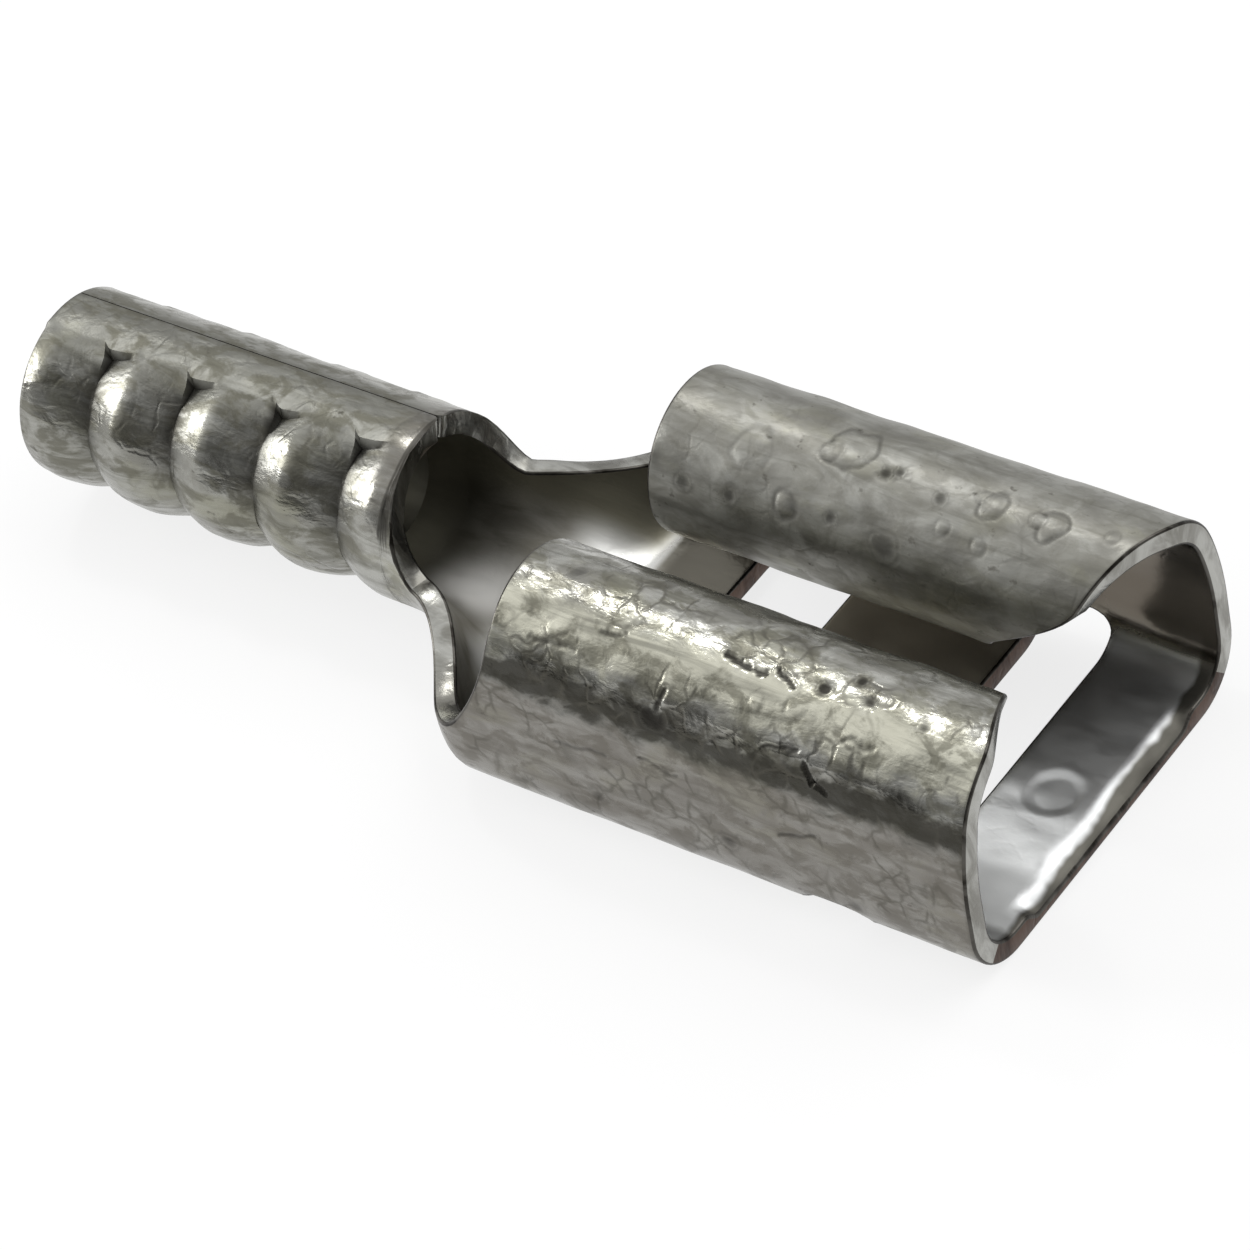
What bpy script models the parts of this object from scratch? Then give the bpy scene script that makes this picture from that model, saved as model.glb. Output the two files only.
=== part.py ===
"""Uninsulated female spade terminal, folded from one blank of tinned brass sheet.

+X points out of the mouth, Y runs across the receptacle, +Z is up. The flat floor of the
receptacle rests on Z = 0 and the box is centred on X = 0. The sheet is one open surface, a loft
from the round wire barrel through the open neck to the flat floor with its two rolled sides. It
is thickened to the gauge of the sheet, and the openings are then cut through it.
"""
import math

import bmesh
import bpy

MM = 0.001

# Sheet, and the four lengths that follow each other from the rear end to the mouth
GAUGE = 0.40 * MM                  # thickness of the sheet
BARREL_LENGTH = 7.85 * MM          # the barrel's length at the top, where the butt seam runs
NECK_LENGTH = 2.55 * MM            # from the barrel's front rim to the foot of the side walls
FOOT_REACH = 1.30 * MM             # how far the foot of the walls reaches behind the rolls
ROLL_LENGTH = 9.10 * MM            # the rolls at their tops, up to the mouth
WIDTH = 7.85 * MM                  # across the outside of the receptacle

# Section of the receptacle, as radii of its outer face
CORNER_R = 1.13 * MM               # fold from the floor into the side wall
WALL_RISE = 0.62 * MM              # height of the straight wall over that fold
SHOULDER_R = 5.17 * MM             # slow inward lean above the wall
SHOULDER_TURN = math.radians(17.6)
ROLL_R = 1.45 * MM                 # the roll that presses on the tab
ROLL_TURN = math.radians(204)
LEG = 0.85 * MM                    # straight edge beyond the roll, pointing down at the tab

# Ends of the rolled sides
FOOT_UP = 0.12 * MM                # the walls part from the neck this far over the fold
REAR_CURVE_END = 0.70 * MM         # the curve from foot to roll ends this far along the roll
REAR_CURVE_POWER = 2.2             # how tight that curve is
LEAD_START = 0.40 * MM             # the mouth edge falls back from this far before the roll's top
LEAD_SLOPE = 0.48                  # how fast it does
TIP_CUT = 1.20 * MM                # further cut back at the tip of the roll
TIP_CUT_START = 1.35 * MM          # where that sets in, along the sheet past the top of the roll
TIP_CUT_RUN = 1.40 * MM

# Wire barrel
BARREL_R = 1.71 * MM               # outer radius
BARREL_AXIS = 1.96 * MM            # height of its axis over the underside
SEAM_GAP = 0.04 * MM               # gap left between the two butted edges
SEAM_TURN = math.radians(18)       # the seam sits this far round from the top, toward +Y
SEAM_CORNER_R = 0.16 * MM          # round on the seam's two corners at the front rim

# Pressed grooves round the barrel, sharp outside with round lands between
GROOVE_FIRST = 1.40 * MM           # from the rear end to the first groove
GROOVE_PITCH = 1.80 * MM
GROOVE_CLEAR = 0.95 * MM           # least length in front of the last groove
GROOVE_DEPTH = 0.26 * MM
GROOVE_CREST = 0.42                # share of the pitch from a groove to the crest in front of it
GROOVE_STOP_NEAR = math.radians(32)    # left plain beside the seam on the -Y side
GROOVE_STOP_FAR = math.radians(30)     # and on the +Y side
GROOVE_END_RUN = 0.08 * MM         # over which a groove's end comes back up to the wall

# Neck: its edge, as the half width of the blank, and where its section changes
NECK_HALF = 2.43 * MM              # narrowest half width
WAIST_BACK = 0.68 * MM             # where that is, from the barrel's front rim
RIM_POWER = 1.95                   # how square the cut from the seam down into the neck is
FOOT_RISE = 1.2                    # how late the edge rises from the waist to the foot
WIDEN_START = 0.15 * MM            # the section starts to open this far from the rim
WIDEN_PAST = 0.45 * MM             # and is full this far in front of the foot
RAMP_BACK = 1.00 * MM              # the bottom starts to come down this far behind the foot
RAMP_PAST = 0.45 * MM              # and is down on the floor this far in front of it
LINES_EARLY = 0.80 * MM            # the lengthwise lines start to spread this much sooner

# Openings in the floor
LIP = 2.00 * MM                    # from the mouth to the slot
SLOT_LENGTH = 1.42 * MM
SLOT_TURN = math.radians(69.7)     # how far its ends run up round the folds
SLOT_END_R = 0.45 * MM
WINDOW_BACK = 1.95 * MM            # from the foot of the side walls to the window
WINDOW_LENGTH = 1.87 * MM
WINDOW_RISE = 0.18 * MM            # how far its ends run out past the flat floor
WINDOW_END_R = 0.25 * MM

# Lead-in bevel and pressed mark on the front lip
BEVEL_INSET = 0.37 * MM            # from the folds to the ends of the bevel
BEVEL_RUN = 0.32 * MM
BEVEL_DROP = 0.22 * MM
MARK_BACK = 1.05 * MM              # centre of the mark, back from the mouth
MARK_R = 0.57 * MM
MARK_DEPTH = 0.07 * MM

# Grid of the loft
STRIP_LINES = 20                   # lengthwise lines on each side of the centre line
PLAIN_LINES = 4                    # of those, the ones beside the seam that the grooves don't reach
ROLL_LINES = 14                    # lengthwise lines in a roll
GROOVE_STATIONS = (-0.38, -0.22, -0.10, 0.0, 0.07, 0.16, 0.28)    # in pitches, round each groove
RIM_STATIONS = (0.0, 0.03, 0.10, 0.22, 0.38, 0.58, 0.78, 1.0)     # shares of the way to the waist
LEAST_STEP = 0.05 * MM             # stations closer than this are one

HALF_T = GAUGE / 2
LENGTH = BARREL_LENGTH + NECK_LENGTH + FOOT_REACH + ROLL_LENGTH
MOUTH_X = LENGTH / 2
REAR_X = -LENGTH / 2
RIM_X = REAR_X + BARREL_LENGTH
WAIST_X = RIM_X + WAIST_BACK
FOOT_X = RIM_X + NECK_LENGTH
WIDEN_X0 = RIM_X + WIDEN_START
WIDEN_X1 = FOOT_X + WIDEN_PAST
GROOVE_X = REAR_X + GROOVE_FIRST
GROOVES = int((BARREL_LENGTH - GROOVE_FIRST - GROOVE_CLEAR) / GROOVE_PITCH) + 1
FLOOR_HALF = WIDTH / 2 - CORNER_R
BARREL_MID = BARREL_R - HALF_T


def arc_step(point, heading, radius, length):
    """The point and heading reached along a left-hand arc of the middle of the sheet."""
    turn = length / radius
    y = point[0] + radius * (math.sin(heading + turn) - math.sin(heading))
    z = point[1] - radius * (math.cos(heading + turn) - math.cos(heading))
    return (y, z), heading + turn


CORNER_ARC = (CORNER_R - HALF_T) * math.pi / 2
SHOULDER_ARC = (SHOULDER_R - HALF_T) * SHOULDER_TURN
ROLL_ARC = (ROLL_R - HALF_T) * ROLL_TURN
FOOT_HALF = FLOOR_HALF + CORNER_ARC + FOOT_UP
SHOULDER_START = FLOOR_HALF + CORNER_ARC + WALL_RISE
ROLL_START = SHOULDER_START + SHOULDER_ARC
FULL_HALF = ROLL_START + ROLL_ARC + LEG
TOP_HALF = ROLL_START + (ROLL_R - HALF_T) * (math.pi / 2 - SHOULDER_TURN)


def receptacle_point(s):
    """Middle of the sheet in the receptacle, at distance s along it from the centre line."""
    side = -1.0 if s < 0 else 1.0
    s = abs(s)
    point, heading = (min(s, FLOOR_HALF), HALF_T), 0.0
    rest = s - FLOOR_HALF
    for radius, length in ((CORNER_R - HALF_T, CORNER_ARC), (None, WALL_RISE),
                           (SHOULDER_R - HALF_T, SHOULDER_ARC), (ROLL_R - HALF_T, ROLL_ARC),
                           (None, LEG)):
        if rest <= 0:
            break
        part = min(rest, length)
        if radius is None:
            point = (point[0] + part * math.cos(heading), point[1] + part * math.sin(heading))
        else:
            point, heading = arc_step(point, heading, radius, part)
        rest -= length
    return side * point[0], point[1]


def smooth(t):
    t = min(max(t, 0.0), 1.0)
    return t * t * (3 - 2 * t)


def seam_angle(side):
    """Angle of the butt seam from the bottom of the barrel, going round by the given side."""
    return math.pi - side * SEAM_TURN


def groove_angle(side):
    """Angle from the bottom at which the grooves end on the given side."""
    return seam_angle(side) - (GROOVE_STOP_NEAR if side < 0 else GROOVE_STOP_FAR)


def groove_offset(x, angle):
    """How far the barrel wall is pressed in at station x and angle from the bottom."""
    touch = 0.001
    if angle < -groove_angle(-1) - touch or angle > groove_angle(1) + touch:
        return 0.0
    across = (x - GROOVE_X) / GROOVE_PITCH
    if across < GROOVE_CREST - 1 or across > GROOVES - 1 + GROOVE_CREST:
        return 0.0
    phase = across - math.floor(across)
    from_crest = max(1 - phase / GROOVE_CREST, (phase - GROOVE_CREST) / (1 - GROOVE_CREST))
    return GROOVE_DEPTH * from_crest ** 2


def barrel_point(x, s):
    """Middle of the sheet in the barrel, at distance s along it from the bottom line."""
    angle = s / BARREL_MID
    r = BARREL_MID - groove_offset(x, angle)
    return r * math.sin(angle), BARREL_AXIS - r * math.cos(angle)


def widening(x, early=0.0):
    """0 in the barrel, 1 in the receptacle."""
    return smooth((x + early - WIDEN_X0) / (WIDEN_X1 - WIDEN_X0))


def strip_half(x, side):
    """Half width of the middle strip: barrel, neck and floor, up to the foot of the walls."""
    seam = BARREL_MID * seam_angle(side) - SEAM_GAP / 2
    into = x - RIM_X + SEAM_CORNER_R
    if into <= 0:
        return seam
    if x <= RIM_X:
        return seam - SEAM_CORNER_R + math.sqrt(max(SEAM_CORNER_R ** 2 - into ** 2, 0.0))
    if x < WAIST_X:
        t = (WAIST_X - x) / (WAIST_X - RIM_X)
        rim = seam - SEAM_CORNER_R
        return rim - (rim - NECK_HALF) * (1 - t ** RIM_POWER) ** (1 / RIM_POWER)
    t = min((x - WAIST_X) / (FOOT_X - WAIST_X), 1.0)
    return NECK_HALF + (FOOT_HALF - NECK_HALF) * t ** FOOT_RISE


def strip_lines(x, side):
    """Distances of the strip's lengthwise lines from the centre line."""
    seam = BARREL_MID * seam_angle(side) - SEAM_GAP / 2
    grooved = BARREL_MID * groove_angle(side)
    plain = grooved + GROOVE_END_RUN
    barrel = spread(0.0, grooved, STRIP_LINES - PLAIN_LINES)
    barrel += [plain] + spread(plain, seam, PLAIN_LINES - 1)
    floor_lines = STRIP_LINES // 2
    flat = spread(0.0, FLOOR_HALF, floor_lines)
    flat += spread(FLOOR_HALF, FOOT_HALF, STRIP_LINES - floor_lines)
    half = strip_half(x, side)
    wide = widening(x, LINES_EARLY)
    return [(b / seam * (1 - wide) + f / FOOT_HALF * wide) * half for b, f in zip(barrel, flat)]


def side_ends(s):
    """Rear and mouth stations of a rolled side at distance s from the centre line."""
    t = min((s - FOOT_HALF) / (ROLL_START + REAR_CURVE_END - FOOT_HALF), 1.0)
    rear = FOOT_X + FOOT_REACH * (1 - (1 - t) ** REAR_CURVE_POWER)
    past = s - TOP_HALF
    cut = TIP_CUT * smooth((past - TIP_CUT_START) / TIP_CUT_RUN)
    return rear, MOUTH_X - LEAD_SLOPE * max(past + LEAD_START, 0.0) - cut


def spread(x0, x1, count):
    return [x0 + (x1 - x0) * (i + 1) / count for i in range(count)]


def side_lines():
    """Distances of the lengthwise lines in a rolled side, the first at the foot."""
    wall = [FOOT_HALF] + spread(FOOT_HALF, SHOULDER_START, 2)
    roll = spread(SHOULDER_START, ROLL_START, 3) + spread(ROLL_START, ROLL_START + ROLL_ARC, ROLL_LINES)
    return wall + roll + spread(ROLL_START + ROLL_ARC, FULL_HALF, 2)


def stations():
    """Stations of the strip along X, and how many of them the rolled sides share."""
    xs = [REAR_X]
    for i in range(GROOVES):
        xs += [GROOVE_X + (i + t) * GROOVE_PITCH for t in (GROOVE_CREST - 1, *GROOVE_STATIONS)]
    xs.append(GROOVE_X + (GROOVES - 1 + GROOVE_CREST) * GROOVE_PITCH)
    xs = sorted(x for x in xs if x < RIM_X - SEAM_CORNER_R - LEAST_STEP)
    xs += [RIM_X - SEAM_CORNER_R * t for t in (1.0, 0.5, 0.15)]
    xs += [RIM_X + (WAIST_X - RIM_X) * t for t in RIM_STATIONS]
    xs += spread(WAIST_X, FOOT_X, 7)
    strip = [REAR_X] + [b for a, b in zip(xs, xs[1:]) if b - a > LEAST_STEP or b > RIM_X - SEAM_CORNER_R]
    shared = spread(FOOT_X, WIDEN_X1, 4) + spread(WIDEN_X1, MOUTH_X, 6)
    return strip + shared, len(shared) + 1


def new_collection(name, hidden=False):
    made = bpy.data.collections.new(name)
    bpy.context.scene.collection.children.link(made)
    made.hide_render = hidden
    return made


def new_material(name, colour, metallic, roughness):
    made = bpy.data.materials.new(name)
    made.use_nodes = True
    shader = made.node_tree.nodes["Principled BSDF"]
    shader.inputs["Base Color"].default_value = (*colour, 1.0)
    shader.inputs["Metallic"].default_value = metallic
    shader.inputs["Roughness"].default_value = roughness
    made.diffuse_color = (*colour, 1.0)
    return made


def fold(x, s):
    """Point of the folded sheet for station x and distance s along it from the centre line."""
    wide = widening(x)
    by, bz = barrel_point(x, s)
    ry, rz = receptacle_point(s)
    step = BARREL_AXIS - BARREL_R
    up = step * (1 - smooth((x - FOOT_X + RAMP_BACK) / (RAMP_BACK + RAMP_PAST)))
    return (x, by + (ry - by) * wide, bz - step + (rz - bz + step) * wide + up)


def loft_sheet(name, collection):
    """The folded blank as an open surface: the middle strip, then a rolled side on each edge."""
    bm = bmesh.new()
    xs, shared = stations()
    rows = []
    for x in xs:
        across = [-s for s in reversed(strip_lines(x, -1))] + [0.0] + strip_lines(x, 1)
        rows.append([bm.verts.new(fold(x, s)) for s in across])
    for a, b in zip(rows, rows[1:]):
        for j in range(len(a) - 1):
            bm.faces.new((a[j], b[j], b[j + 1], a[j + 1]))
    foot = xs[-shared:]
    along = [(x - foot[0]) / (foot[-1] - foot[0]) for x in foot]
    for side, edge in ((-1, 0), (1, -1)):
        last = [row[edge] for row in rows[-shared:]]
        for s in side_lines()[1:]:
            rear, mouth = side_ends(s)
            line = [bm.verts.new(fold(rear + (mouth - rear) * t, side * s)) for t in along]
            for i in range(shared - 1):
                quad = (last[i], last[i + 1], line[i + 1], line[i])
                bm.faces.new(quad if side > 0 else quad[::-1])
            last = line
    mesh = bpy.data.meshes.new(name)
    bm.to_mesh(mesh)
    bm.free()
    made = bpy.data.objects.new(name, mesh)
    collection.objects.link(made)
    return made


def apply_modifiers(target):
    bpy.ops.object.select_all(action="DESELECT")
    target.select_set(True)
    bpy.context.view_layer.objects.active = target
    for modifier in list(target.modifiers):
        bpy.ops.object.modifier_apply(modifier=modifier.name)


def rounded_plate(name, x0, x1, half, radius, z0, z1, collection, mid_z=0.0, slope=0.0):
    """A block with rounded upright edges that cuts an opening; its ends may lean inward going up."""
    low, high = half + slope * (mid_z - z0), half - slope * (z1 - mid_z)
    bm = bmesh.new()
    bmesh.ops.create_cube(bm, size=1.0)
    for v in bm.verts:
        v.co = (x1 if v.co.x > 0 else x0, math.copysign(high if v.co.z > 0 else low, v.co.y),
                z1 if v.co.z > 0 else z0)
    upright = [e for e in bm.edges if abs(e.verts[0].co.z - e.verts[1].co.z) > (z1 - z0) / 2]
    bmesh.ops.bevel(bm, geom=upright, offset=radius, segments=4, affect="EDGES", profile=0.5)
    mesh = bpy.data.meshes.new(name)
    bm.to_mesh(mesh)
    bm.free()
    made = bpy.data.objects.new(name, mesh)
    made.display_type = "WIRE"
    made.hide_render = True
    collection.objects.link(made)
    return made


def wedge(name, collection):
    """A wedge along Y that takes the lead-in bevel off the top edge of the lip."""
    half = FLOOR_HALF - BEVEL_INSET
    over = GAUGE
    rise = over * BEVEL_DROP / BEVEL_RUN
    back, front, top = MOUTH_X - BEVEL_RUN - over, MOUTH_X + over, GAUGE + 3 * over
    profile = [(back, GAUGE + rise), (front, GAUGE - BEVEL_DROP - rise), (front, top), (back, top)]
    bm = bmesh.new()
    face = bm.faces.new([bm.verts.new((x, -half, z)) for x, z in profile])
    done = bmesh.ops.extrude_face_region(bm, geom=[face])
    moved = [v for v in done["geom"] if isinstance(v, bmesh.types.BMVert)]
    bmesh.ops.translate(bm, vec=(0, 2 * half, 0), verts=moved)
    bmesh.ops.recalc_face_normals(bm, faces=bm.faces)
    mesh = bpy.data.meshes.new(name)
    bm.to_mesh(mesh)
    bm.free()
    made = bpy.data.objects.new(name, mesh)
    made.display_type = "WIRE"
    made.hide_render = True
    collection.objects.link(made)
    return made


def mark_lens(name, collection):
    """A flat lens that presses the shallow round mark into the lip."""
    bm = bmesh.new()
    bmesh.ops.create_uvsphere(bm, u_segments=20, v_segments=16, radius=1.0)
    bmesh.ops.scale(bm, vec=(MARK_R, MARK_R, MARK_DEPTH * 2), verts=bm.verts)
    bmesh.ops.translate(bm, vec=(MOUTH_X - MARK_BACK, 0, GAUGE + MARK_DEPTH), verts=bm.verts)
    mesh = bpy.data.meshes.new(name)
    bm.to_mesh(mesh)
    bm.free()
    made = bpy.data.objects.new(name, mesh)
    made.display_type = "WIRE"
    made.hide_render = True
    collection.objects.link(made)
    return made


for old in list(bpy.data.objects):
    bpy.data.objects.remove(old)

parts = new_collection("female_spade_terminal")
cutters = new_collection("cutters", hidden=True)

terminal = loft_sheet("terminal", parts)
shell = terminal.modifiers.new("gauge", "SOLIDIFY")
shell.thickness = GAUGE
shell.offset = 0.0
shell.use_even_offset = True

slot_half = FLOOR_HALF + CORNER_R * math.sin(SLOT_TURN)
slot_z = CORNER_R * (1 - math.cos(SLOT_TURN))
window_rear = FOOT_X + WINDOW_BACK
tools = [
    rounded_plate("front_slot", MOUTH_X - LIP - SLOT_LENGTH, MOUTH_X - LIP, slot_half, SLOT_END_R,
                  -GAUGE, slot_z + GAUGE, cutters, slot_z, math.tan(SLOT_TURN)),
    rounded_plate("rear_window", window_rear, window_rear + WINDOW_LENGTH, FLOOR_HALF + WINDOW_RISE,
                  WINDOW_END_R, -GAUGE, GAUGE * 2, cutters),
    wedge("lip_bevel", cutters),
    mark_lens("lip_mark", cutters),
]
for tool in tools:
    cut = terminal.modifiers.new(tool.name, "BOOLEAN")
    cut.operation = "DIFFERENCE"
    cut.solver = "EXACT"
    cut.object = tool
apply_modifiers(terminal)

tin = new_material("tinned_brass", (0.50, 0.49, 0.46), 1.0, 0.35)
terminal.data.materials.clear()
terminal.data.materials.append(tin)
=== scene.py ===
"""Looks of an uninsulated female spade terminal, folded from tinned brass sheet.

The terminal is made here as it is made on the press: a flat blank is laid out and punched, folded
round its barrel, neck and receptacle, and given its thickness. Then the lip is coined, the worn
plating gets its lumps, blisters and pits, and the sheared edges are eased. Lengths are in metres.
"""
import math

import bpy
from mathutils import Matrix, Vector, noise


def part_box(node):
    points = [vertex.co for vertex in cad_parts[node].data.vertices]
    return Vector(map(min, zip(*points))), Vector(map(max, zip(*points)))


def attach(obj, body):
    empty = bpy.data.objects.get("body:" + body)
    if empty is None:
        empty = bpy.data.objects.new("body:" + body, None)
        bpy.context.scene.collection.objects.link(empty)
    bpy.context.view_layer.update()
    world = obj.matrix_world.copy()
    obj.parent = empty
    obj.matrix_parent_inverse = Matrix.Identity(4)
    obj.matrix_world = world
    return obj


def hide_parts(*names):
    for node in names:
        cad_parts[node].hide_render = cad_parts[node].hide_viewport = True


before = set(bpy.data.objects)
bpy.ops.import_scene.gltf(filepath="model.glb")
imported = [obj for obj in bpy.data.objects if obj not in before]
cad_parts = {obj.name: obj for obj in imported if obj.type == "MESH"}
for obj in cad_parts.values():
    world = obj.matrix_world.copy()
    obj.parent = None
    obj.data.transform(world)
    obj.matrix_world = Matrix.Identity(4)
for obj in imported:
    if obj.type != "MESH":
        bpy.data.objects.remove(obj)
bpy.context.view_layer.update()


# The blank is one strip of 0.4 mm brass with a barrel end and a wide receptacle end, stamped to
# its outline. It is laid out flat: x runs to the mouth, and s runs across it from the centre line.
# Its two wings are the sides that will be rolled over, joined on at the foot of the side walls.
MM = 0.001
low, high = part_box("terminal")
REAR_X, MOUTH_X = low.x, high.x
WIDTH = high.y - low.y
GAUGE = 0.40 * MM
HALF_T = GAUGE / 2
CELL = 0.104 * MM                  # size of a square of the fine grid

BARREL_LENGTH = 7.85 * MM
NECK_LENGTH = 2.55 * MM
FOOT_REACH = 1.30 * MM
RIM_X = REAR_X + BARREL_LENGTH
FOOT_X = RIM_X + NECK_LENGTH
BARREL_R = 1.71 * MM
BARREL_MID = BARREL_R - HALF_T
SEAM_TURN = math.radians(18)
SEAM_GAP = 0.008 * MM
SEAM_CORNER_R = 0.16 * MM

CORNER_R = 1.13 * MM
WALL_RISE = 0.62 * MM
SHOULDER_R = 5.17 * MM
SHOULDER_TURN = math.radians(17.6)
ROLL_R = 1.45 * MM
ROLL_TURN = math.radians(204)
LEG = 0.85 * MM
WING_FOOT = 0.12 * MM              # the wings join the strip this far above its fold
FLOOR_HALF = WIDTH / 2 - CORNER_R
CORNER_ARC = (CORNER_R - HALF_T) * math.pi / 2
SHOULDER_ARC = (SHOULDER_R - HALF_T) * SHOULDER_TURN
ROLL_ARC = (ROLL_R - HALF_T) * ROLL_TURN
FOOT_HALF = FLOOR_HALF + CORNER_ARC + WING_FOOT
ROLL_START = FLOOR_HALF + CORNER_ARC + WALL_RISE + SHOULDER_ARC
FULL_HALF = ROLL_START + ROLL_ARC + LEG
TOP_HALF = ROLL_START + (ROLL_R - HALF_T) * (math.pi / 2 - SHOULDER_TURN)

NECK_HALF = 2.43 * MM
WAIST_X = RIM_X + 0.68 * MM
RIM_POWER = 1.95                   # how squarely the neck's outline leaves the barrel's rim
FLARE_POWER = 1.2
WIDEN_X0 = RIM_X + 0.15 * MM       # between these the barrel's round turns into the floor
WIDEN_X1 = FOOT_X + 0.45 * MM
LINES_AHEAD = 0.80 * MM            # the grid's lines are spread this far ahead of the sheet
REAR_CURVE_END = 0.70 * MM
REAR_CURVE_POWER = 2.2
LEAD_START = 0.40 * MM
LEAD_SLOPE = 0.48
LEAD_EASE = 0.22 * MM
LEAD_TAIL = 1.20 * MM
TIP_CUT = 1.20 * MM
TIP_CUT_START = 1.35 * MM
TIP_CUT_RUN = 1.40 * MM

GROOVES = 4
GROOVE_PITCH = 1.80 * MM
GROOVE_X = REAR_X + 1.40 * MM
GROOVE_STOP = {-1: math.radians(32), 1: math.radians(30)}     # from the seam, by side
GROOVE_END_RUN = 0.08 * MM

SLOT_X1 = MOUTH_X - 2.00 * MM
SLOT_X0 = SLOT_X1 - 1.42 * MM
SLOT_TURN = math.radians(69.7)     # how far up the fold the slot's ends reach
SLOT_HALF = FLOOR_HALF + (CORNER_R - HALF_T) * SLOT_TURN
WINDOW_X0 = FOOT_X + 1.95 * MM
WINDOW_X1 = WINDOW_X0 + 1.87 * MM
WINDOW_HALF = FLOOR_HALF + 0.18 * MM
BEVEL_RUN = 0.32 * MM
RIM_STEPS = (0.7, 0.45, 0.25, 0.1, 0.03)
NECK_STEPS = (0.0, 0.01, 0.04, 0.09, 0.16, 0.25, 0.36, 0.5, 0.66, 0.83)


def smooth(t):
    t = min(max(t, 0.0), 1.0)
    return t * t * (3 - 2 * t)


def ruled(keys):
    """The key values with even steps of about one cell between them."""
    values = [keys[0]]
    for a, b in zip(keys, keys[1:]):
        count = max(1, round((b - a) / CELL))
        values += [a + (b - a) * (i + 1) / count for i in range(count)]
    return values


def seam_half(side):
    return BARREL_MID * (math.pi - side * SEAM_TURN) - SEAM_GAP / 2


def groove_end(side):
    return BARREL_MID * (math.pi - side * SEAM_TURN - GROOVE_STOP[side])


def strip_half(x, side):
    """Half width of the strip that becomes barrel, neck and floor."""
    seam = seam_half(side)
    into = x - RIM_X + SEAM_CORNER_R
    if into <= 0:
        return seam
    if x <= RIM_X:
        return seam - SEAM_CORNER_R + math.sqrt(max(SEAM_CORNER_R ** 2 - into ** 2, 0.0))
    if x < WAIST_X:
        t = (WAIST_X - x) / (WAIST_X - RIM_X)
        rim = seam - SEAM_CORNER_R
        return rim - (rim - NECK_HALF) * (1 - t ** RIM_POWER) ** (1 / RIM_POWER)
    t = min((x - WAIST_X) / (FOOT_X - WAIST_X), 1.0)
    return NECK_HALF + (FOOT_HALF - NECK_HALF) * t ** FLARE_POWER


def spread_lines(x):
    """0 where the lengthwise lines are shared out for the barrel, 1 where for the floor."""
    return smooth((x + LINES_AHEAD - WIDEN_X0) / (WIDEN_X1 - WIDEN_X0))


def wing_ends(s):
    """Rear and mouth ends of a wing at distance s from the centre line."""
    t = min((s - FOOT_HALF) / (ROLL_START + REAR_CURVE_END - FOOT_HALF), 1.0)
    past = s - TOP_HALF
    cut = TIP_CUT * smooth((past - TIP_CUT_START) / TIP_CUT_RUN)
    into = past + LEAD_START
    lead = (into + math.hypot(into, LEAD_EASE)) / 2 if into > -LEAD_TAIL else 0.0
    mouth = MOUTH_X - LEAD_SLOPE * lead - cut
    return FOOT_X + FOOT_REACH * (1 - (1 - t) ** REAR_CURVE_POWER), mouth


def add_grid(name, columns, rows, place):
    """A grid primitive whose point (i, j) is moved to place(i, j)."""
    bpy.ops.object.select_all(action="DESELECT")
    bpy.ops.mesh.primitive_grid_add(x_subdivisions=columns - 1, y_subdivisions=rows - 1, size=1)
    grid = bpy.context.object
    grid.name = name
    for v in grid.data.vertices:
        i = round((v.co.x + 0.5) * (columns - 1))
        j = round((v.co.y + 0.5) * (rows - 1))
        v.co = (*place(i, j), 0.0)
    return grid


notches = [GROOVE_X + i * GROOVE_PITCH for i in range(GROOVES)]
stations = ruled([REAR_X] + notches + [RIM_X - SEAM_CORNER_R])
stations += [RIM_X - SEAM_CORNER_R * t for t in RIM_STEPS]
stations += [RIM_X + (WAIST_X - RIM_X) * t for t in NECK_STEPS]
stations += ruled([WAIST_X, FOOT_X, WINDOW_X0, WINDOW_X1, SLOT_X0, SLOT_X1,
                   MOUTH_X - BEVEL_RUN, MOUTH_X])
floor_lines = ruled([0.0, WINDOW_HALF, SLOT_HALF, FOOT_HALF])
half_lines = len(floor_lines) - 1


def strip_place(i, j):
    """Point of the strip at station i and lengthwise line j, counted from the -Y edge."""
    x = stations[i]
    k = abs(j - half_lines)
    side = 1 if j > half_lines else -1
    ends = [groove_end(side), groove_end(side) + GROOVE_END_RUN, seam_half(side)]
    plain = max(2, round((ends[2] - ends[1]) / CELL))
    grooved = half_lines - plain - 1
    if k <= grooved:
        barrel = ends[0] * k / grooved
    else:
        barrel = ends[1] + (ends[2] - ends[1]) * (k - grooved - 1) / plain
    wide = spread_lines(x)
    share = barrel / ends[2] * (1 - wide) + floor_lines[k] / FOOT_HALF * wide
    return x, side * share * strip_half(x, side)


first_wing = stations.index(min(stations, key=lambda x: abs(x - FOOT_X)))
wing_stations = stations[first_wing:]
wing_lines = ruled([FOOT_HALF, ROLL_START, ROLL_START + ROLL_ARC, FULL_HALF])


def wing_place(side):
    def place(i, j):
        s = wing_lines[j]
        rear, mouth = wing_ends(s)
        t = (wing_stations[i] - FOOT_X) / (MOUTH_X - FOOT_X)
        return rear + (mouth - rear) * t, side * s
    return place


terminal = add_grid("terminal_sheet", len(stations), 2 * half_lines + 1, strip_place)
wings = [add_grid("wing", len(wing_stations), len(wing_lines), wing_place(side))
         for side in (-1, 1)]


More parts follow.
